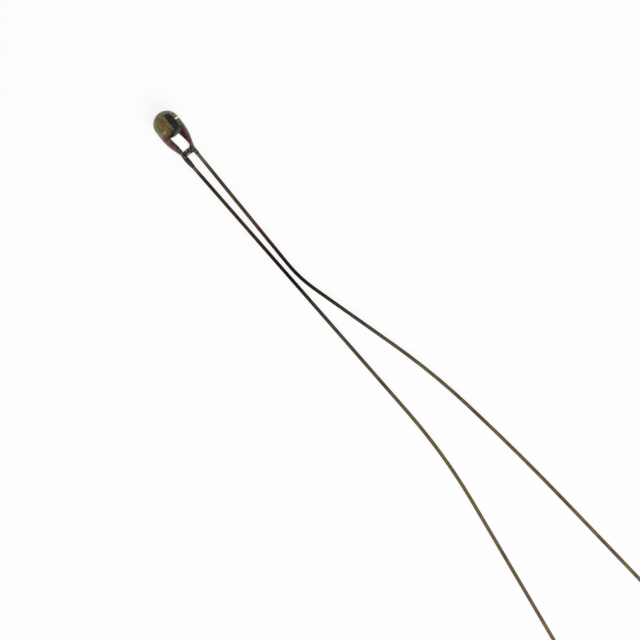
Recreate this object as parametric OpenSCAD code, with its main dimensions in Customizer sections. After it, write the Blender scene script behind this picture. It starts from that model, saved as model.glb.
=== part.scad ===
// Glass bead thermistor: an oxide chip gripped between two lead wires and sealed in a drop of clear glass.
// It lies as it comes to rest, on the belly of the bead and on the two cut lead ends.
// The bead frame has x along the bead from its tip, and both leads leave the glass in the plane z = 0.

/* [Glass bead] */
// Diameter of the bead at its widest
bead_d = 1.88; // [1.6:0.02:2.4]
// Length from the tip to the web between the leads
bead_len = 3.5; // [3:0.05:4.5]
// Power that sets how long the flank keeps its width before it closes on the leads
flank_power = 1.8; // [1:0.1:2.5]
// Power that sets how long the bead keeps its height
crown_power = 2.2; // [1.5:0.1:3.5]
// Power that sets how bluntly the height runs out at the web
run_out_power = 0.66; // [0.5:0.02:1]
// Half thickness of the web's edge between the leads
web_edge = 0.03; // [0.02:0.01:0.08]
// Distance that the glass creeps further along the leads than between them
meniscus_depth = 0.12; // [0.05:0.01:0.3]
// Depth of the flank's edge inside the outline of each lead at the web
neck_tuck = 0.02; // [0.01:0.005:0.04]

/* [Glass collars] */
// Thickness of the glass round each lead at the neck
neck_wall = 0.015; // [0.01:0.005:0.08]
// Length of each collar inside the drop
collar_root = 0.3; // [0.2:0.02:0.4]
// Length of the collar along the first lead, past the web
collar_a_len = 0.3; // [0.25:0.05:0.9]
// Swell of the collar on the first lead
collar_a_swell = 0.01; // [0.005:0.005:0.08]
// Length of the collar along the second lead, past the web
collar_b_len = 0.8; // [0.25:0.05:0.9]
// Swell of the collar on the second lead
collar_b_swell = 0.045; // [0.005:0.005:0.08]
// Thickness of the glass where a collar ends
collar_edge = 0.008; // [0.006:0.002:0.018]

/* [Chip] */
// Thickness of the oxide chip between its electrodes
chip_t = 0.4; // [0.3:0.02:0.6]
// Width of the chip across the bead
chip_w = 0.84; // [0.7:0.02:1]
// Length of the chip along the bead
chip_len = 1.16; // [0.8:0.02:1.4]
// Turn of the chip about the bead's axis
chip_roll = 35; // [0:1:40]
// Distance from the glass tip to the chip
chip_setback = 0.46; // [0.4:0.02:0.7]
// Distance of the chip's middle to the side of the bead's axis
chip_side = 0.05; // [0:0.01:0.1]
// Distance of the chip's middle below the bead's axis
chip_sag = 0.135; // [0.05:0.005:0.2]
// Thickness of the fired silver on each face
electrode_t = 0.02; // [0.01:0.005:0.04]

/* [Bonds] */
// Paste between each lead and its electrode
bond_line = 0.02; // [0.01:0.005:0.04]
// Paste thickness over the lead
bond_wall = 0.085; // [0.05:0.005:0.11]
// Paste past the inner end of the lead
bond_cover = 0.06; // [0.03:0.01:0.1]
// Paste along the first lead from its inner end
bond_a_len = 0.5; // [0.4:0.02:0.7]
// Paste along the second lead from its inner end
bond_b_len = 1.28; // [0.6:0.02:1.4]

/* [Leads] */
// Diameter of the lead wire
wire_d = 0.25; // [0.2:0.01:0.32]
// Amount by which the wire is drawn thinner through a bend
bend_draw = 0.004; // [0.003:0.001:0.008]
// Cut length of each wire
wire_len = 48.4; // [42:0.2:60]
// Distance from the chip's front to the inner end of the first lead
wire_a_setback = 0.64; // [0.1:0.02:0.8]
// Distance from the chip's front to the inner end of the second lead
wire_b_setback = 0.1; // [0.06:0.01:0.2]
// Distance of the first lead below the middle of its electrode
seat_a_drop = 0.18; // [0:0.01:0.25]
// Distance of the second lead below the middle of its electrode
seat_b_drop = 0.24; // [0:0.01:0.28]
// Straight stretch past the chip before the leads rise to the neck
rise_gap = 0.1; // [0.05:0.01:0.3]
// Bend radius where the first lead rises from the chip to the neck
rise_a_r = 0.3; // [0.25:0.05:0.4]
// Bend radius where the second lead rises from the chip to the neck
rise_b_r = 0.8; // [0.6:0.05:1]
// Length before the web over which the leads have come level
neck_run = 0.6; // [0.5:0.05:0.8]
// Distance between the leads where they come level
neck_pitch = 0.845; // [0.7:0.005:1]
// Level stretch before the leads turn towards the nip
level_run = 0.1; // [0.05:0.01:0.2]
// Bend radius where the leads turn towards the nip
exit_r = 4; // [2:0.5:8]
// Angle of the first lead's turn towards the nip
exit_a_angle = 1.3; // [0.2:0.1:2.5]
// Clear gap where the leads come closest
nip_gap = 0.24; // [0.1:0.01:0.5]

/* [First lead] */
// Straight stretch up to the first bend
run_a1 = 10.3; // [8:0.1:20]
// Radius of the first bend
bend_a1_r = 9; // [3:0.5:14]
// Angle of the first bend, away from the other lead
bend_a1_angle = 15.5; // [10:0.5:25]
// Straight stretch after the first bend
run_a2 = 6.6; // [4:0.1:9]
// Radius of the slow bend back
bend_a2_r = 47; // [30:1:70]
// Angle of the slow bend back
bend_a2_angle = 8; // [3:0.5:10]
// Straight stretch after the slow bend back
run_a3 = 0.6; // [0.2:0.1:2]
// Radius of the last, slowest bend
bend_a3_r = 165; // [80:5:220]
// Angle of the last bend
bend_a3_angle = 3; // [1:0.2:5]

/* [Second lead] */
// Straight stretch up to the bend
run_b1 = 23.1; // [15:0.1:28]
// Radius of the bend
bend_b1_r = 40; // [20:1:60]
// Angle of the bend, away from the other lead
bend_b1_angle = 10.7; // [5:0.1:14]

/* [Hidden] */
$fn = 48;

ring_points = 40;
nose_rings = 8;
flank_rings = 16;
bond_rings = 12;
collar_rings = 10;
bend_lap = 0.03;
bend_lap_share = 0.1;
creep_power = 14;
web_power = 4;

bead_r = bead_d / 2;
wire_r = wire_d / 2;
bond_r = wire_r + bond_wall;

// A route is a list of [straight run, bend radius, bend angle], and a pose is [x, y, heading]
function after_run(pose, run) =
    [pose.x + run * cos(pose.z), pose.y + run * sin(pose.z), pose.z];
function after_bend(pose, r, turn) =
    let (side = sign(turn), heading = pose.z + turn)
    [pose.x + side * r * (sin(heading) - sin(pose.z)),
     pose.y - side * r * (cos(heading) - cos(pose.z)),
     heading];
function after_route(pose, route, i = 0) =
    i == len(route) ? pose
    : after_route(after_bend(after_run(pose, route[i].x), route[i].y, route[i].z), route, i + 1);
function arc_len(link) = link.y * abs(link.z) * PI / 180;
function route_len(route, i = 0) =
    i == len(route) ? 0
    : route[i].x + arc_len(route[i]) + route_len(route, i + 1);
function height_at(pose, x) = pose.y + (x - pose.x) * tan(pose.z);

// Both leads come level inside the neck. The second one then turns towards the first one's bend, to the nip gap.
level_x = bead_len - neck_run;
level_a = [level_x, neck_pitch / 2, 0];
level_b = [level_x, -neck_pitch / 2, 0];
turn_x = level_x + level_run;
exit_pose_a = after_bend(after_run(level_a, level_run), exit_r, exit_a_angle);
nip = after_run(exit_pose_a, run_a1);
exit_b_angle = atan((nip.y - wire_d - nip_gap - level_b.y) / (nip.x - turn_x));
exit_pose_b = after_bend(after_run(level_b, level_run), exit_r, exit_b_angle);

route_a = [[level_run, exit_r, exit_a_angle],
           [run_a1, bend_a1_r, bend_a1_angle],
           [run_a2, bend_a2_r, -bend_a2_angle],
           [run_a3, bend_a3_r, -bend_a3_angle]];
route_b = [[level_run, exit_r, exit_b_angle],
           [run_b1, bend_b1_r, -bend_b1_angle]];

// The neck closes on the leads, and the glass is centred on them there
neck_a = height_at(exit_pose_a, bead_len);
neck_b = height_at(exit_pose_b, bead_len);
neck_half = (neck_a - neck_b) / 2;
neck_y = (neck_a + neck_b) / 2;
neck_r = wire_r + neck_wall;
neck_w = neck_half + wire_r - neck_tuck;

// Each lead is seated beside its chip face at a [y, z], and rises from there to its level stretch
grip = chip_t / 2 + electrode_t + bond_line + wire_r;
wire_a_x = chip_setback + wire_a_setback;
wire_b_x = chip_setback + wire_b_setback;
rise_x = chip_setback + chip_len + rise_gap;
function seat(side, drop) =
    [neck_y + chip_side + side * grip * cos(chip_roll) - drop * sin(chip_roll),
     -chip_sag - side * grip * sin(chip_roll) - drop * cos(chip_roll)];
seat_a = seat(1, seat_a_drop);
seat_b = seat(-1, seat_b_drop);
function rise(seat, level) = [level.y - seat.x, -seat.y];
function rise_route(start_x, height, r) =
    let (along = level_x - rise_x,
         up = height - 2 * r,
         slant = sqrt(along * along + up * up - 4 * r * r),
         turn = atan2(up, along) + atan2(2 * r, slant))
    [[rise_x - start_x, r, turn], [slant, r, -turn]];
root_a = rise_route(wire_a_x, norm(rise(seat_a, level_a)), rise_a_r);
root_b = rise_route(wire_b_x, norm(rise(seat_b, level_b)), rise_b_r);

last_run_a = wire_len - route_len(root_a) - route_len(route_a);
last_run_b = wire_len - route_len(root_b) - route_len(route_b);
end_a = after_run(after_route(level_a, route_a), last_run_a);
end_b = after_run(after_route(level_b, route_b), last_run_b);

// The bead's sections, each [x, half width, half height, share of the flank]:
// a round nose, then a flank that closes on the leads in plan and runs out to the web in height
flank_len = bead_len - bead_r;
function flank_width(share) =
    neck_w + (bead_r - neck_w) * pow(cos(90 * pow(share, flank_power)), 2);
function flank_height(share) =
    web_edge + (bead_r - web_edge) * pow(1 - pow(share, crown_power), run_out_power);
sections = concat(
    [for (i = [1 : nose_rings])
        let (a = 90 * i / nose_rings)
        [bead_r * (1 - cos(a)), bead_r * sin(a), bead_r * sin(a), 0]],
    [for (i = [1 : flank_rings])
        let (share = sin(90 * i / flank_rings))
        [bead_r + flank_len * share, flank_width(share), flank_height(share), share]]);

// At rest the bead's belly and the lead ends touch the ground, and the origin is under the middle of the part
reach = max(end_a.x, end_b.x);
rest_tilt = asin((bead_r - wire_r) / (reach - bead_r));
rest_lift = max([for (s = sections) s[0] * sin(rest_tilt) + s[2] * cos(rest_tilt)]);
rest_x = (reach * cos(rest_tilt) + bead_r * (cos(rest_tilt) - 1)) / 2;
rest_y = (max(neck_y + bead_r, end_a.y + wire_r) + min(neck_y - bead_r, end_b.y - wire_r)) / 2;

module at_rest() {
    translate([-rest_x, -rest_y, rest_lift])
        rotate([0, rest_tilt, 0])
            children();
}

// Lead wires

module wire_run(run, from, to) {
    translate([-from, 0, 0])
        rotate([0, 90, 0])
            cylinder(h = from + run + to, d = wire_d);
}

module wire_bend(r, turn) {
    side = sign(turn);
    translate([0, side * r, 0])
        rotate([0, 0, side > 0 ? -90 : 90 + turn])
            rotate_extrude(angle = abs(turn))
                translate([r, 0])
                    circle(d = wire_d - bend_draw);
}

module place(pose) {
    translate([pose.x, pose.y, 0])
        rotate([0, 0, pose.z])
            children();
}

// Straight runs lap over the ends of the bends, and over a small share of a short bend
function lap_on(link) = min(bend_lap, bend_lap_share * arc_len(link));

module wire_links(start, route, first_lap) {
    for (i = [0 : len(route) - 1]) {
        before = after_route(start, [for (j = [0 : 1 : i - 1]) route[j]]);
        place(before)
            wire_run(route[i].x, i > 0 ? lap_on(route[i - 1]) : first_lap, lap_on(route[i]));
        place(after_run(before, route[i].x))
            wire_bend(route[i].y, route[i].z);
    }
}

// A lead lies along its chip face, rises in a slanted plane to the neck, then follows its level route
module wire(start_x, seat, root, level, route, last_run) {
    up = rise(seat, level);
    translate([start_x, seat.x, seat.y])
        rotate([atan2(up.y, up.x), 0, 0])
            wire_links([0, 0, 0], root, 0);
    wire_links(level, route, lap_on(root[len(root) - 1]));
    place(after_route(level, route))
        wire_run(last_run, lap_on(route[len(route) - 1]), 0);
}

module wire_a() {
    wire(wire_a_x, seat_a, root_a, level_a, route_a, last_run_a);
}

module wire_b() {
    wire(wire_b_x, seat_b, root_b, level_b, route_b, last_run_b);
}

// Chip and its electrodes

module in_chip_frame() {
    translate([chip_setback, neck_y + chip_side, -chip_sag])
        rotate([-chip_roll, 0, 0])
            children();
}

module chip_block() {
    in_chip_frame()
        translate([0, -chip_t / 2, -chip_w / 2])
            cube([chip_len, chip_t, chip_w]);
}

module electrode(side) {
    in_chip_frame()
        translate([0, side * (chip_t + electrode_t) / 2 - electrode_t / 2, -chip_w / 2])
            cube([chip_len, electrode_t, chip_w]);
}

// Conductive paste: a barrel round the end of a lead, hollowed by the wire, the electrode and the chip

module barrel(start_x, seat, length) {
    half = (length + bond_cover) / 2;
    translate([start_x - bond_cover + half, seat.x, seat.y])
        rotate([0, 90, 0])
            rotate_extrude()
                polygon([for (i = [-bond_rings : bond_rings])
                    let (a = 90 * i / bond_rings)
                    [bond_r * sqrt(cos(a)), half * sin(a)]]);
}

module barrel_a() {
    barrel(wire_a_x, seat_a, bond_a_len);
}

module barrel_b() {
    barrel(wire_b_x, seat_b, bond_b_len);
}

module paste_a() {
    difference() {
        barrel_a();
        wire_a();
        electrode(1);
        chip_block();
    }
}

module paste_b() {
    difference() {
        barrel_b();
        wire_b();
        electrode(-1);
        chip_block();
    }
}

// Glass

// A section is an oblong as wide and high as the bead there. Its points creep forward towards the leads,
// so the glass ends in a hollow meniscus between them.
function section_y(s, a) = sign(round(ring_points * cos(a))) * (s[1] - s[2]) + s[2] * cos(a);
function creep(s, y) =
    meniscus_depth * pow(s[3], creep_power) * pow(min(1, abs(y) / neck_half), web_power);

module drop() {
    n = ring_points;
    last = 1 + (len(sections) - 1) * n;
    points = [for (s = sections) for (k = [0 : n - 1])
        let (a = 360 * k / n, y = section_y(s, a))
        [s[0] + creep(s, y), neck_y + y, s[2] * sin(a)]];
    tip_faces = [for (k = [0 : n - 1]) [0, 1 + k, 1 + (k + 1) % n]];
    side_faces = [for (i = [0 : len(sections) - 2]) for (k = [0 : n - 1])
        let (p = 1 + i * n + k, q = 1 + i * n + (k + 1) % n)
        each [[p, p + n, q + n], [p, q + n, q]]];
    end_faces = concat(
        [[last, last + n - 1, last + 1]],
        [for (k = [1 : n / 2 - 2])
            let (top = last + k, bottom = last + n - k)
            each [[top, bottom, top + 1], [bottom, bottom - 1, top + 1]]],
        [[last + n / 2 - 1, last + n / 2 + 1, last + n / 2]]);
    polyhedron(concat([[0, neck_y, 0]], points), concat(tip_faces, side_faces, end_faces));
}

// Glass that wets a lead past the web, from its root inside the neck to its thin edge
module collar(exit_pose, length, swell) {
    root_x = bead_len - collar_root;
    reach = collar_root + length;
    edge_r = wire_r + collar_edge;
    place([root_x, height_at(exit_pose, root_x), exit_pose.z])
        rotate([0, 90, 0])
            rotate_extrude()
                polygon(concat(
                    [[0, 0]],
                    [for (i = [0 : collar_rings])
                        let (share = i / collar_rings)
                        [neck_r + (edge_r - neck_r) * share + swell * sin(180 * share), reach * share]],
                    [[0, reach]]));
}

module glass_body() {
    difference() {
        union() {
            drop();
            collar(exit_pose_a, collar_a_len, collar_a_swell);
            collar(exit_pose_b, collar_b_len, collar_b_swell);
        }
        wire_a();
        wire_b();
        chip_block();
        electrode(1);
        electrode(-1);
        barrel_a();
        barrel_b();
    }
}

// Nodes

module glass_bead() { color([0.86, 0.9, 0.88, 0.4]) at_rest() glass_body(); }
module thermistor_chip() { color("#1e1b19") at_rest() chip_block(); }
module electrode_a() { color("#8a8265") at_rest() electrode(1); }
module electrode_b() { color("#8a8265") at_rest() electrode(-1); }
module bond_a() { color("#76694a") at_rest() paste_a(); }
module bond_b() { color("#76694a") at_rest() paste_b(); }
module lead_wire_a() { color("#54452f") at_rest() wire_a(); }
module lead_wire_b() { color("#54452f") at_rest() wire_b(); }

glass_bead();
thermistor_chip();
electrode_a();
electrode_b();
bond_a();
bond_b();
lead_wire_a();
lead_wire_b();
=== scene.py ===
import math

import bmesh
import bpy
import numpy as np
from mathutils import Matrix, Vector, noise


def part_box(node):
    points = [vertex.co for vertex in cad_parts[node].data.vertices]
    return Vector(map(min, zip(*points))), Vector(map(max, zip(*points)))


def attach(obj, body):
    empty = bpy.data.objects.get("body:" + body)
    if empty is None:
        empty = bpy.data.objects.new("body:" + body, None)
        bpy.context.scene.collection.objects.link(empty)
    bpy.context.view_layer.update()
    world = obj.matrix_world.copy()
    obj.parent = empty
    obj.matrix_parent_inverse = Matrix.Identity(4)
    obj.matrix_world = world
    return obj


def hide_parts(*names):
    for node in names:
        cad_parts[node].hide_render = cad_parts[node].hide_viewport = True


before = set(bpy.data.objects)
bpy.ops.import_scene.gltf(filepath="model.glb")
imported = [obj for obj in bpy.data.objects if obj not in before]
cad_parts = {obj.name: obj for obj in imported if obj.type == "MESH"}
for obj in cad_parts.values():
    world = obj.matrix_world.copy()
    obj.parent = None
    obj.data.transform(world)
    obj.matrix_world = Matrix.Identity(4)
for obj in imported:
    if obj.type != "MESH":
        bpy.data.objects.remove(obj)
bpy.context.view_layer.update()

# Lengths are in millimetres unless a comment says otherwise
MM = 0.001

# Drop of glass, as in the solids: its length and the curves of its flank and neck
BEAD_LEN = 3.5
FLANK_POWER = 1.8
CROWN_POWER = 2.2
RUN_OUT_POWER = 0.66
WEB_EDGE = 0.03
WEB_POWER = 4
MENISCUS_DEPTH = 0.12
CREEP_POWER = 14
CREEP_PASSES = 10
NECK_TUCK = 0.02
NECK_WALL = 0.015

# Evens out how fast the drop's field rises along the flank
FIELD_POWER = 0.6

# Collars of glass on the leads, with the fillet at their root and the feathered edge at their end
COLLAR_ROOT = 0.3
COLLAR_LEN = {"a": 0.3, "b": 0.8}
COLLAR_SWELL = {"a": 0.01, "b": 0.045}
COLLAR_EDGE = 0.008
COLLAR_FILLET = 0.05
FEATHER = 0.08

# Paste: each lump's start and end from the bead's tip, its radius, and its shift across and up
BOND_R = 0.21
LUMPS = {
    "a": [(1.03, 1.55, BOND_R, (0, 0)), (0.42, 0.93, 0.18, (0.12, 0.04))],
    "b": [(0.5, 1.8, BOND_R, (0, 0)), (1.3, 2.8, 0.165, (-0.02, -0.01)),
          (0.46, 1.5, 0.16, (0.1, 0.14)), (2.1, 3.1, 0.15, (0.06, 0))]}
LUMP_FILLET = 0.12
PASTE_ROUGH = 0.02
PASTE_GRAIN = 0.22
PASTE_SEED = {"a": 11, "b": 17}

# Film of paste on each electrode: its height, its inset from the edges and the fillet up to the lumps
FILM_T = 0.006
FILM_INSET = 0.06
FILM_FILLET = 0.16

# Dome on the chip's rear end: its height, how far back it starts and how much lower it is at the corners
DOME = 0.24
DOME_LEN = 0.25
DOME_FALL = 0.7

# Fineness of the meshes
GLASS_PITCH = 0.024
PASTE_PITCH = 0.016
SETTLE_PASSES = 4
SLOPE_STEP = 1e-4
LEAST_SLOPE = 1e-9
FINE_STEP = 0.06
FINE_LEN = 4
WIRE_STEP = 0.2
WIRE_SIDES = 24
WIRE_EDGE = 0.02

# Room round the fields that are meshed, as lengths and as shares of a lump's size
GLASS_ROOM = 0.12
COLLAR_ROOM = 1.1
PLATE_ROOM = 0.1
LUMP_ROOM = np.array([1.2, 1.4, 1.4])

# Reading a CAD lead: depth of its end caps, and how far from them its slices start
CAP_DEPTH = 0.04
CAP_MARGIN = 0.15
LINE_PASSES = 2

# The photograph: its width on the part, its middle from the bead's tip, and its turn in degrees
LENS = 200
SENSOR = 36
FRAME_WIDTH = 43.24
FRAME_MIDDLE = (17.71, 0.026)
TURN = 52.06
CLIP_START_M = 0.01

# Floor, in metres: its colour, and the share of plain white that each kind of ray adds to it
FLOOR_HALF = 0.6
FLOOR_COLOUR = (0.95, 0.95, 0.95, 1)
FLOOR_WHITE = {"Is Camera Ray": 0.88, "Is Glossy Ray": 0.15, "Is Transmission Ray": 0.85}
WHITE = (1, 1, 1, 1)

# Light: the room's level, and a softbox in metres, watts and degrees, leaning from overhead toward +X
ROOM_LEVEL = 0.15
SOFTBOX_SIZE = 0.34
SOFTBOX_REACH = 0.5
SOFTBOX_LEAN = 40
SOFTBOX_POWER = 2.7

# Display colours, 0 to 255. White leaves what it shades as it is
UNSHADED = (255, 255, 255)
RED = (140, 80, 60)
OLIVE = (132, 112, 78)

# Tones of silver, paste and oxide from dark to pale, and where they stand in the mottle
PLATE = ((160, 144, 90), (190, 173, 115), (214, 201, 156))
KHAKI = ((142, 127, 74), (172, 154, 98), (198, 184, 138))
BROWN = ((96, 60, 42), (120, 74, 54), (146, 102, 80))
OXIDE = ((44, 48, 36), (56, 60, 46), (72, 78, 62))
MOTTLE_STOPS = (0.32, 0.5, 0.68)

# Where silver and paste change tone, from the bead's tip
PLATE_TURN = (1.46, 1.54)
PASTE_TURN = {"a": (1.1, 1.3), "b": (1.3, 1.55)}

# Colours along the chip, as shares of a length from the bead's tip. Most are the oxide's own, but the
# faintly blue stop at 0.62 is a painted sky reflection, and the fade to pale grey at 0.8 and 0.88 is
# painted light: the lit floor past the edge of the chip's shadow, seen through the glass
CHIP_SPAN = 2
CHIP_TONES_AND_PAINTED_LIGHT = [
    (0.23, (94, 108, 54)), (0.27, (52, 36, 22)), (0.36, (42, 22, 12)), (0.5, (38, 27, 21)),
    (0.62, (36, 35, 38)), (0.74, (38, 41, 36)), (0.8, (66, 71, 57)), (0.88, (108, 115, 101))]

# Colours along the leads, from the bead's tip
LEAD_STOPS = {
    "a": [
        (0, RED), (2.9, RED), (3.3, (156, 146, 116)), (4.2, (136, 126, 100)), (4.8, (102, 93, 72)),
        (5.5, (92, 82, 62)), (8.4, (104, 90, 64)), (10.4, (102, 62, 48)), (13.2, (44, 27, 16)),
        (14.9, (34, 24, 12)), (17.6, (72, 60, 40)), (20.7, (98, 90, 68)), (26, OLIVE), (49, OLIVE)],
    "b": [
        (0, RED), (1.9, RED), (2.9, (128, 90, 64)), (3.4, (110, 98, 82)), (3.8, (74, 72, 66)),
        (4.1, (112, 108, 98)), (4.4, (126, 118, 96)), (5, (84, 72, 50)), (6, (58, 46, 28)),
        (8.1, (84, 70, 46)), (10, (84, 54, 40)), (11.2, (58, 44, 32)), (14.3, (22, 14, 6)),
        (17.3, (80, 74, 52)), (21.5, (112, 100, 78)), (30, OLIVE), (49, OLIVE)]}


# Frame of the bead: x from its tip along its axis

def node_points(name):
    return np.array([v.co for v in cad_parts[name].data.vertices]) / MM


def middle(points):
    return (points.min(0) + points.max(0)) / 2


def centre_line(name):
    """Points along the middle of a CAD lead, from its end caps and slices across X between them."""
    points = node_points(name)
    edges = np.array([e.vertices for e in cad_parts[name].data.edges])
    first, second = points[edges[:, 0]], points[edges[:, 1]]
    start = middle(points[points[:, 0] < points[:, 0].min() + CAP_DEPTH])
    end = middle(points[points[:, 0] > points[:, 0].max() - CAP_DEPTH])
    line = [start]
    inner = np.arange(start[0] + CAP_MARGIN, start[0] + FINE_LEN, FINE_STEP)
    outer = np.arange(start[0] + FINE_LEN, end[0] - CAP_MARGIN, WIRE_STEP)
    for x in np.concatenate([inner, outer]):
        cut = (first[:, 0] - x) * (second[:, 0] - x) < 0
        share = (x - first[cut, 0]) / (second[cut, 0] - first[cut, 0])
        line.append(middle(first[cut] + share[:, None] * (second[cut] - first[cut])))
    line = np.array(line + [end])
    for _ in range(LINE_PASSES):
        line[1:-1] = (line[:-2] + 2 * line[1:-1] + line[2:]) / 4
    return line


LINES = {side: centre_line("lead_wire_" + side) for side in "ab"}
glass_low, glass_high = (np.array(corner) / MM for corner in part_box("glass_bead"))
bead_r = (glass_high[1] - glass_low[1]) / 2
nose = np.array([glass_low[0] + bead_r, *middle(np.array([glass_low, glass_high]))[1:]])
far = LINES["b"][-1]
tilt = math.atan((nose[2] - far[2]) / (far[0] - nose[0]))
AXES = np.array([
    [math.cos(tilt), 0, -math.sin(tilt)],
    [0, 1, 0],
    [math.sin(tilt), 0, math.cos(tilt)]])
TIP = nose - bead_r * AXES[0]


def to_bead(points):
    return (points - TIP) @ AXES.T


def from_bead(points):
    return points @ AXES + TIP


ROUTES = {side: to_bead(line) for side, line in LINES.items()}
ends = node_points("lead_wire_b")
wire_r = np.ptp(ends[ends[:, 0] < LINES["b"][0][0] + CAP_DEPTH][:, 1]) / 2
flank_len = BEAD_LEN - bead_r


def on_route(side, x):
    """The point of a lead's middle line at that distance from the bead's tip."""
    route = ROUTES[side]
    return np.array([x, np.interp(x, route[:, 0], route[:, 1]), np.interp(x, route[:, 0], route[:, 2])])


neck_half = (on_route("a", BEAD_LEN)[1] - on_route("b", BEAD_LEN)[1]) / 2
neck_w = neck_half + wire_r - NECK_TUCK


# Mesh makers

UNIT = np.eye(3, dtype=int)
CORNERS = [(i, j, k) for i in (0, 1) for j in (0, 1) for k in (0, 1)]


def add_piece(name, points, faces, material, normals=None):
    """A smooth mesh from points in the bead frame, riding on the part."""
    mesh = bpy.data.meshes.new(name)
    mesh.from_pydata((from_bead(points) * MM).tolist(), [], faces)
    mesh.shade_smooth()
    if normals is not None:
        mesh.normals_split_custom_set_from_vertices((normals @ AXES).tolist())
    mesh.validate()
    piece = bpy.data.objects.new(name, mesh)
    bpy.context.scene.collection.objects.link(piece)
    mesh.materials.append(material)
    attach(piece, "root")
    return piece


def gradient(field, points):
    slopes = []
    for axis in np.eye(3):
        rise = field(points + SLOPE_STEP * axis) - field(points - SLOPE_STEP * axis)
        slopes.append(rise / (2 * SLOPE_STEP))
    return np.stack(slopes, -1)


def at_corner(grid, corner):
    """The values of a grid at one corner of each of its cells."""
    return grid[tuple(slice(c, c + n - 1) for c, n in zip(corner, grid.shape))]


def crossings(value):
    """The cells that a surface crosses, and the mean place in each, in cells, where it cuts an edge."""
    filled = sum(at_corner(value < 0, corner).astype(int) for corner in CORNERS)
    crossed = (filled > 0) & (filled < len(CORNERS))
    total = np.zeros((crossed.sum(), 3))
    hits = np.zeros((crossed.sum(), 1))
    for axis in range(3):
        for corner in CORNERS:
            if corner[axis]:
                continue
            other = np.array(corner) + UNIT[axis]
            a, b = at_corner(value, corner)[crossed], at_corner(value, other)[crossed]
            cut = (a < 0) != (b < 0)
            share = (a[cut] / (a[cut] - b[cut]))[:, None]
            total[cut] += corner + share * UNIT[axis]
            hits[cut] += 1
    return crossed, np.argwhere(crossed) + total / hits


def cell_faces(inside, crossed):
    """A face across each edge of the grid that the surface cuts, with its front outward."""
    index = np.full(crossed.shape, -1)
    index[crossed] = np.arange(crossed.sum())
    faces = []
    for axis in range(3):
        u, v = UNIT[(axis + 1) % 3], UNIT[(axis + 2) % 3]
        around = (-u - v, -v, 0 * u, -u)
        before = np.take(inside, range(crossed.shape[axis]), axis)
        after = np.take(inside, range(1, crossed.shape[axis] + 1), axis)
        for starts, turn in ((before & ~after, around), (~before & after, around[::-1])):
            at_edge = np.argwhere(starts)
            quads = [index[tuple((at_edge + shift).T)] for shift in turn]
            faces += np.stack(quads, -1).tolist()
    return faces


def field_mesh(field, low, high, pitch):
    """Points, faces and normals of the surface where a field is zero."""
    axes = [np.arange(a, b + pitch, pitch) for a, b in zip(low, high)]
    value = field(np.stack(np.meshgrid(*axes, indexing="ij"), -1))
    crossed, places = crossings(value)
    points = np.array(low) + pitch * places
    for _ in range(SETTLE_PASSES):
        slope = gradient(field, points)
        steep = np.maximum((slope ** 2).sum(-1, keepdims=True), LEAST_SLOPE)
        move = field(points)[:, None] * slope / steep
        points -= np.clip(move, -pitch / 2, pitch / 2)
    normals = gradient(field, points)
    normals /= np.linalg.norm(normals, axis=1, keepdims=True)
    return points, cell_faces(value < 0, crossed), normals


def soft_min(a, b, radius):
    """The lesser of two fields, with a fillet where they meet."""
    overlap = np.maximum(radius - np.abs(a - b), 0)
    return np.minimum(a, b) - overlap ** 2 / (4 * radius)


def smooth_noise(points, scale, seed):
    """Noise from -1 to 1 at each point, with that grain."""
    flat = points.reshape(-1, 3) / scale + seed
    return np.array([noise.noise(Vector(p)) for p in flat]).reshape(points.shape[:-1])


# Material helpers

# Sockets of a Mix node that belong to colours
MIX_FIRST = 6
MIX_SECOND = 7
MIX_RESULT = 2


def colour(r, g, b):
    """A display colour, 0 to 255, as linear light, by the standard display curve."""
    shares = [c / 255 for c in (r, g, b)]
    return [s / 12.92 if s <= 0.04045 else ((s + 0.055) / 1.055) ** 2.4 for s in shares] + [1]


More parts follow.
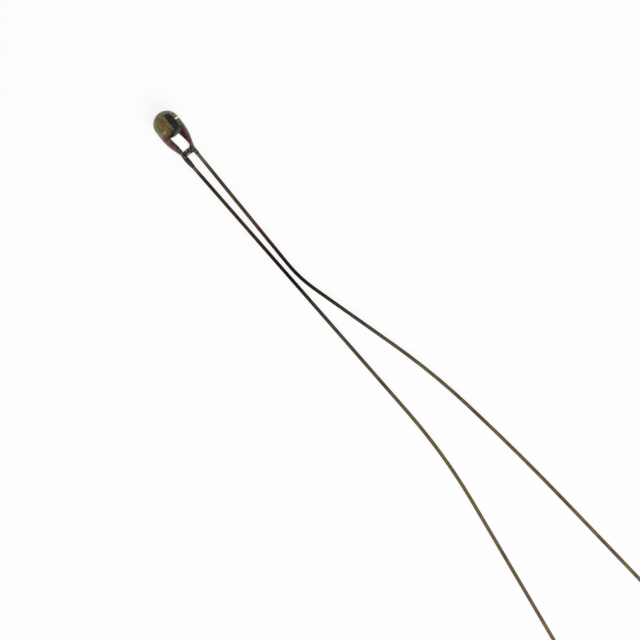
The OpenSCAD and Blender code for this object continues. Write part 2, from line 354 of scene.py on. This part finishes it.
class Nodes:
    """A material's node tree, with short ways to add and link nodes."""

    def __init__(self, name):
        self.material = bpy.data.materials.new(name)
        self.material.use_nodes = True
        self.tree = self.material.node_tree
        self.shader = self.tree.nodes["Principled BSDF"]
        coordinates = self.tree.nodes.new("ShaderNodeTexCoord")
        self.place = coordinates.outputs["Object"]

    def link(self, source, target):
        self.tree.links.new(source, target)

    def noise(self, grain, detail=4, roughness=0.55, stretch=None):
        """Noise with that grain."""
        node = self.tree.nodes.new("ShaderNodeTexNoise")
        node.inputs["Scale"].default_value = 1 / (grain * MM)
        node.inputs["Detail"].default_value = detail
        node.inputs["Roughness"].default_value = roughness
        self.link(self.stretched(stretch) if stretch else self.place, node.inputs["Vector"])
        return node.outputs["Fac"]

    def stretched(self, factors):
        node = self.tree.nodes.new("ShaderNodeMapping")
        node.inputs["Scale"].default_value = factors
        self.link(self.place, node.inputs["Vector"])
        return node.outputs["Vector"]

    def along(self, start, end):
        """0 to 1 between two places along X, from the bead's tip."""
        split = self.tree.nodes.new("ShaderNodeSeparateXYZ")
        self.link(self.place, split.inputs["Vector"])
        node = self.tree.nodes.new("ShaderNodeMapRange")
        node.inputs["From Min"].default_value = (TIP[0] + start) * MM
        node.inputs["From Max"].default_value = (TIP[0] + end) * MM
        self.link(split.outputs["X"], node.inputs["Value"])
        return node.outputs["Result"]

    def ramp(self, factor, stops):
        node = self.tree.nodes.new("ShaderNodeValToRGB")
        points = node.color_ramp.elements
        while len(points) < len(stops):
            points.new(0.5)
        for point, (position, tone) in zip(points, stops):
            point.position = position
            point.color = colour(*tone)
        self.link(factor, node.inputs["Fac"])
        return node.outputs["Color"]

    def level(self, factor, low, high):
        """A factor from 0 to 1 as a number from low to high."""
        node = self.tree.nodes.new("ShaderNodeMapRange")
        node.inputs["To Min"].default_value = low
        node.inputs["To Max"].default_value = high
        self.link(factor, node.inputs["Value"])
        return node.outputs["Result"]

    def mix(self, a, b, blend_type):
        node = self.tree.nodes.new("ShaderNodeMix")
        node.data_type = "RGBA"
        node.blend_type = blend_type
        node.inputs["Factor"].default_value = 1
        self.link(a, node.inputs[MIX_FIRST])
        self.link(b, node.inputs[MIX_SECOND])
        return node

    def shaded(self, base, shade):
        """One colour multiplied by another."""
        return self.mix(base, shade, "MULTIPLY").outputs[MIX_RESULT]

    def blend(self, factor, a, b):
        """From one colour to another as the factor goes from 0 to 1."""
        node = self.mix(a, b, "MIX")
        self.link(factor, node.inputs["Factor"])
        return node.outputs[MIX_RESULT]

    def bump(self, height, strength, distance):
        node = self.tree.nodes.new("ShaderNodeBump")
        node.inputs["Strength"].default_value = strength
        node.inputs["Distance"].default_value = distance * MM
        self.link(height, node.inputs["Height"])
        self.link(node.outputs["Normal"], self.shader.inputs["Normal"])

    def set(self, **values):
        for name, value in values.items():
            self.shader.inputs[name.replace("_", " ")].default_value = value

    def feed(self, name, source):
        self.link(source, self.shader.inputs[name])


# Materials

def glass_material():
    """Clear lead glass, fire-polished, with faint waves left by the melt."""
    nodes = Nodes("clear_glass")
    nodes.set(Transmission_Weight=1.0, IOR=1.6, Specular_Tint=(0.5, 0.5, 0.5, 1))
    tint = nodes.ramp(nodes.noise(0.9), [(0.3, (250, 252, 247)), (0.7, (252, 253, 251))])
    nodes.feed("Base Color", tint)
    nodes.feed("Roughness", nodes.level(nodes.noise(0.35), low=0.0, high=0.03))
    nodes.bump(nodes.noise(0.5, detail=1), strength=0.05, distance=0.02)
    return nodes.material


def oxide_material():
    """Sintered black oxide: matt and fine-grained, olive and brown near the tip, with a painted faint
    blue sky reflection in the middle and a painted fade to pale at the rear, where the lit floor shows
    through the glass.
    """
    nodes = Nodes("oxide_chip")
    grain = nodes.noise(0.03, detail=6, roughness=0.7)
    # The ramp along the chip holds a painted faint blue reflection in its middle and a painted fade to
    # pale at its rear
    tint = nodes.ramp(nodes.along(0, CHIP_SPAN), CHIP_TONES_AND_PAINTED_LIGHT)
    speckle = nodes.ramp(grain, [(0.3, (150, 150, 150)), (0.7, UNSHADED)])
    nodes.feed("Base Color", nodes.shaded(tint, speckle))
    nodes.feed("Roughness", nodes.level(grain, low=0.45, high=0.8))
    nodes.bump(grain, strength=0.4, distance=0.008)
    return nodes.material


def silver_material(name, tones, tail, turn):
    """Fired silver: a mottled film with pale spots, which turns to its tail's tones along X."""
    nodes = Nodes(name)
    mottle = nodes.noise(0.28, detail=5, roughness=0.6)
    grain = nodes.noise(0.025, detail=4, roughness=0.7)
    front = nodes.ramp(mottle, list(zip(MOTTLE_STOPS, tones)))
    rear = nodes.ramp(mottle, list(zip(MOTTLE_STOPS, tail)))
    base = nodes.blend(nodes.along(*turn), front, rear)
    speckle = nodes.ramp(grain, [(0.35, (190, 186, 176)), (0.6, UNSHADED)])
    nodes.feed("Base Color", nodes.shaded(base, speckle))
    nodes.feed("Roughness", nodes.level(grain, low=0.4, high=0.7))
    nodes.set(Metallic=0.25)
    nodes.bump(grain, strength=0.35, distance=0.01)
    return nodes.material


def wire_material(name, stops):
    """Copper-clad wire: red in the glass, then olive, with a darker stretch further out."""
    nodes = Nodes(name)
    span = stops[-1][0]
    streaks = nodes.noise(0.05, detail=5, roughness=0.65, stretch=(0.35, 1, 1))
    base = nodes.ramp(nodes.along(0, span), [(x / span, tone) for x, tone in stops])
    blotch = nodes.ramp(nodes.noise(1.1, detail=3), [(0.3, (196, 190, 182)), (0.62, UNSHADED)])
    streak = nodes.ramp(streaks, [(0.3, (205, 198, 188)), (0.65, UNSHADED)])
    nodes.feed("Base Color", nodes.shaded(nodes.shaded(base, blotch), streak))
    nodes.feed("Roughness", nodes.level(streaks, low=0.3, high=0.55))
    nodes.set(Metallic=0.35, Specular_IOR_Level=0.2)
    nodes.bump(streaks, strength=0.25, distance=0.006)
    return nodes.material


# Leads

def unit(vectors):
    return vectors / np.linalg.norm(vectors, axis=1, keepdims=True)


def wire_rings(route):
    """Rings of points round a wire along a route, with the edge broken at both ends."""
    forward = unit(np.gradient(route, axis=0))
    across = unit(np.stack([-forward[:, 1], forward[:, 0], 0 * forward[:, 0]], -1))
    above = np.cross(forward, across)
    inset = WIRE_EDGE * forward
    centres = np.concatenate([
        route[:1], route[:1] + inset[:1], route[1:-1], route[-1:] - inset[-1:], route[-1:]])
    pick = np.concatenate([[0, 0], np.arange(1, len(route) - 1), [-1, -1]])
    radii = np.full(len(pick), wire_r)
    radii[[0, -1]] -= WIRE_EDGE
    turns = np.arange(WIRE_SIDES) * 2 * math.pi / WIRE_SIDES
    sideways = np.cos(turns)[None, :, None] * across[pick][:, None]
    upward = np.sin(turns)[None, :, None] * above[pick][:, None]
    return centres[:, None] + radii[:, None, None] * (sideways + upward)


def make_lead(side, material):
    """A fine round wire along the CAD lead, with its ends cut square."""
    rings = wire_rings(ROUTES[side])
    faces = []
    for i in range(len(rings) - 1):
        for k in range(WIRE_SIDES):
            p = i * WIRE_SIDES + k
            q = i * WIRE_SIDES + (k + 1) % WIRE_SIDES
            faces.append((p, q, q + WIRE_SIDES, p + WIRE_SIDES))
    last = (len(rings) - 1) * WIRE_SIDES
    faces.append(tuple(reversed(range(WIRE_SIDES))))
    faces.append(tuple(range(last, last + WIRE_SIDES)))
    piece = add_piece("lead_" + side, rings.reshape(-1, 3), faces, material)
    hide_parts("lead_wire_" + side)


# Glass

def flank_share(x, y):
    """How far along the flank a point lies, with the creep along the leads taken off."""
    toward_lead = np.minimum(1, np.abs(y) / neck_half) ** WEB_POWER
    share = np.maximum((x - bead_r) / flank_len, 0)
    for _ in range(CREEP_PASSES):
        creep = MENISCUS_DEPTH * np.minimum(share, 1) ** CREEP_POWER * toward_lead
        share = np.maximum((x - bead_r - creep) / flank_len, 0)
    return share


def drop_field(p):
    """Below zero inside the drop: a round nose, then a flank that closes on the leads."""
    x, y, z = p[..., 0], p[..., 1], p[..., 2]
    round_nose = np.sqrt((x - bead_r) ** 2 + y ** 2 + z ** 2) / bead_r - 1
    share = flank_share(x, y)
    inner = np.minimum(share, 1)
    width = neck_w + (bead_r - neck_w) * np.cos(math.pi / 2 * inner ** FLANK_POWER) ** 2
    height = WEB_EDGE + (bead_r - WEB_EDGE) * (1 - inner ** CROWN_POWER) ** RUN_OUT_POWER
    q = np.hypot(np.maximum(np.abs(y) - np.maximum(width - height, 0), 0), z)
    over = np.maximum(q - WEB_EDGE, 0) / (bead_r - WEB_EDGE)
    flank = (over ** (1 / RUN_OUT_POWER) + share ** CROWN_POWER) ** FIELD_POWER - 1
    return flank_len * np.where(x < bead_r, round_nose, flank)


def collar_field(p, side):
    """Below zero inside the glass that wets a lead, swells a little and feathers out along it."""
    root = BEAD_LEN - COLLAR_ROOT
    reach = COLLAR_ROOT + COLLAR_LEN[side]
    start, end = on_route(side, root), on_route(side, root + reach)
    forward = (end - start) / np.linalg.norm(end - start)
    t = (p - start) @ forward
    off = np.linalg.norm(p - start - t[..., None] * forward, axis=-1)
    share = np.clip(t / reach, 0, 1)
    wall = NECK_WALL + (COLLAR_EDGE - NECK_WALL) * share + COLLAR_SWELL[side] * np.sin(math.pi * share)
    fade = np.clip((t - reach) / FEATHER, 0, 1)
    radius = wire_r + wall - 2 * COLLAR_EDGE * fade
    return np.maximum(np.maximum(off - radius, t - reach - FEATHER), -t)


def glass_field(p):
    field = drop_field(p)
    for side in "ab":
        field = soft_min(field, collar_field(p, side), COLLAR_FILLET)
    return field


def make_glass(material):
    half = bead_r + GLASS_ROOM
    low = (-GLASS_ROOM, -half, -half)
    high = (BEAD_LEN + COLLAR_ROOM, half, half)
    points, faces, normals = field_mesh(glass_field, low, high, GLASS_PITCH)
    piece = add_piece("glass_drop", points, faces, material, normals)
    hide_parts("glass_bead")


# Chip and electrodes

def swell_rear(verts, swell):
    """Domes a block's rear end by that much at its middle."""
    points = np.array([v.co for v in verts]) / MM
    off = np.hypot(*(points - middle(points)).T[1:])
    share = np.clip(points[:, 0] - points[:, 0].max() + DOME_LEN, 0, DOME_LEN) / DOME_LEN
    moves = swell * MM * share ** 2 * (1 - DOME_FALL * (off / off.max()) ** 2)
    for v, move in zip(verts, moves):
        v.co.x += move


def divide(work, edge, cuts):
    """Breaks the edges of a block and cuts its faces into small triangles."""
    bmesh.ops.remove_doubles(work, verts=work.verts, dist=1e-4 * MM)
    bmesh.ops.dissolve_limit(work, angle_limit=0.1, verts=work.verts, edges=work.edges)
    bmesh.ops.bevel(work, geom=work.edges[:], offset=edge * MM, segments=2, profile=0.6, affect="EDGES")
    bmesh.ops.triangulate(work, faces=work.faces[:])
    for _ in range(cuts):
        long_edges = [e for e in work.edges if e.calc_length() > 2 * edge * MM]
        bmesh.ops.subdivide_edges(work, edges=long_edges, cuts=1)
        bmesh.ops.triangulate(work, faces=work.faces[:])


def make_block(name, node, material, edge, cuts, rough, grain, seed, swell=0):
    """A CAD block with broken edges and a slightly uneven skin."""
    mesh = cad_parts[node].data.copy()
    mesh.name = name
    work = bmesh.new()
    work.from_mesh(mesh)
    divide(work, edge, cuts)
    work.normal_update()
    for v in work.verts:
        v.co += v.normal * (rough * MM * noise.noise(v.co / (grain * MM) + Vector((seed, 0, 0))))
    swell_rear(work.verts, swell)
    work.to_mesh(mesh)
    work.free()
    mesh.shade_smooth()
    mesh.materials.clear()
    mesh.materials.append(material)
    piece = bpy.data.objects.new(name, mesh)
    bpy.context.scene.collection.objects.link(piece)
    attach(piece, "root")
    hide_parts(node)


# Paste

def electrode(side):
    return to_bead(node_points("electrode_" + side))


def lump_field(p, middle_point, half, radius):
    """Below zero inside a lump that is round across and blunt at its ends."""
    along, across, above = np.moveaxis(p - middle_point, -1, 0)
    return radius * (np.sqrt((np.hypot(across, above) / radius) ** 4 + (along / half) ** 2) - 1)


def film_field(p, side):
    """Below zero inside a thin film that just covers a lead's electrode, short of its edges."""
    plate = electrode(side)
    centre = middle(plate)
    axes = np.linalg.svd(plate - centre)[2]
    reach = np.abs((plate - centre) @ axes.T).max(0) + np.array([-FILM_INSET, -FILM_INSET, FILM_T])
    return np.max(np.abs((p - centre) @ axes.T) - reach, axis=-1)


def paste_field(p, side, shapes):
    """Below zero inside the lumps of paste on a lead and the film under them."""
    value = lump_field(p, *shapes[0])
    for shape in shapes[1:]:
        value = soft_min(value, lump_field(p, *shape), LUMP_FILLET)
    value = value + PASTE_ROUGH * smooth_noise(p, PASTE_GRAIN, PASTE_SEED[side])
    return soft_min(value, film_field(p, side), FILM_FILLET)


def make_paste(side, material):
    """Paste round the inner end of a lead, in lumps, and over its electrode."""
    shapes = []
    for start, end, radius, shift in LUMPS[side]:
        shapes.append((on_route(side, (start + end) / 2) + (0, *shift), (end - start) / 2, radius))
    plate = electrode(side)
    lows, highs = [plate.min(0) - PLATE_ROOM], [plate.max(0) + PLATE_ROOM]
    for spot, half, radius in shapes:
        room = LUMP_ROOM * (half, radius, radius)
        lows.append(spot - room)
        highs.append(spot + room)
    points, faces, normals = field_mesh(
        lambda p: paste_field(p, side, shapes), np.min(lows, 0), np.max(highs, 0), PASTE_PITCH)
    piece = add_piece("paste_" + side, points, faces, material, normals)
    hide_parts("bond_" + side)


# Stage

def floor_material():
    """Matt and pale, and nearly plain white to the camera and through glass, with the shadow kept."""
    material = bpy.data.materials.new("floor")
    material.use_nodes = True
    tree = material.node_tree
    tree.nodes.remove(tree.nodes["Principled BSDF"])
    path = tree.nodes.new("ShaderNodeLightPath")
    lit = tree.nodes.new("ShaderNodeBsdfDiffuse")
    lit.inputs["Color"].default_value = FLOOR_COLOUR
    white = tree.nodes.new("ShaderNodeEmission")
    white.inputs["Color"].default_value = WHITE
    shown = tree.nodes.new("ShaderNodeMixShader")
    tree.links.new(lit.outputs[0], shown.inputs[1])
    tree.links.new(white.outputs[0], shown.inputs[2])
    share = shown.inputs["Fac"]
    for ray, amount in FLOOR_WHITE.items():
        add = tree.nodes.new("ShaderNodeMath")
        add.operation = "MULTIPLY_ADD"
        add.inputs[1].default_value = amount
        add.inputs[2].default_value = 0
        tree.links.new(path.outputs[ray], add.inputs[0])
        tree.links.new(add.outputs[0], share)
        share = add.inputs[2]
    tree.links.new(shown.outputs[0], tree.nodes["Material Output"].inputs["Surface"])
    return material


def make_floor():
    mesh = bpy.data.meshes.new("floor")
    corners = [(x * FLOOR_HALF, y * FLOOR_HALF, 0) for x, y in ((-1, -1), (1, -1), (1, 1), (-1, 1))]
    mesh.from_pydata(corners, [], [(0, 1, 2, 3)])
    floor = bpy.data.objects.new("floor", mesh)
    bpy.context.scene.collection.objects.link(floor)
    mesh.materials.append(floor_material())


def make_light():
    """A dim room and one large softbox high over the leads."""
    world = bpy.data.worlds.new("room")
    bpy.context.scene.world = world
    world.use_nodes = True
    room = world.node_tree.nodes["Background"]
    room.inputs["Color"].default_value = WHITE
    room.inputs["Strength"].default_value = ROOM_LEVEL

    softbox = bpy.data.lights.new("softbox", "AREA")
    softbox.shape = "SQUARE"
    softbox.size = SOFTBOX_SIZE
    softbox.energy = SOFTBOX_POWER
    lamp = bpy.data.objects.new("softbox", softbox)
    bpy.context.scene.collection.objects.link(lamp)
    lean = math.radians(SOFTBOX_LEAN)
    away = Vector((math.sin(lean), 0, math.cos(lean)))
    lamp.location = Vector(nose * MM) + SOFTBOX_REACH * away
    lamp.rotation_euler = (-away).to_track_quat("-Z", "Y").to_euler()


def make_camera():
    """Straight down on the part, as the photograph was taken."""
    data = bpy.data.cameras.new("camera")
    data.lens = LENS
    data.sensor_width = SENSOR
    data.clip_start = CLIP_START_M
    camera = bpy.data.objects.new("camera", data)
    bpy.context.scene.collection.objects.link(camera)
    height = nose[2] + FRAME_WIDTH * LENS / SENSOR
    camera.location = Vector((TIP[0] + FRAME_MIDDLE[0], TIP[1] + FRAME_MIDDLE[1], height)) * MM
    camera.rotation_euler = (0, 0, math.radians(TURN))
    bpy.context.scene.camera = camera


# The scene

bpy.context.scene.view_settings.view_transform = "Standard"
make_camera()
make_floor()
make_light()

for side in "ab":
    make_lead(side, wire_material("lead_wire_" + side, LEAD_STOPS[side]))
make_glass(glass_material())
make_block("chip", "thermistor_chip", oxide_material(),
           edge=0.03, cuts=5, rough=0.008, grain=0.12, seed=3, swell=DOME)
silver = silver_material("fired_silver", PLATE, OXIDE, PLATE_TURN)
for side in "ab":
    make_block("silver_" + side, "electrode_" + side, silver,
               edge=0.006, cuts=6, rough=0.004, grain=0.1, seed=7)
for side in "ab":
    make_paste(side, silver_material("silver_paste_" + side, KHAKI, BROWN, PASTE_TURN[side]))
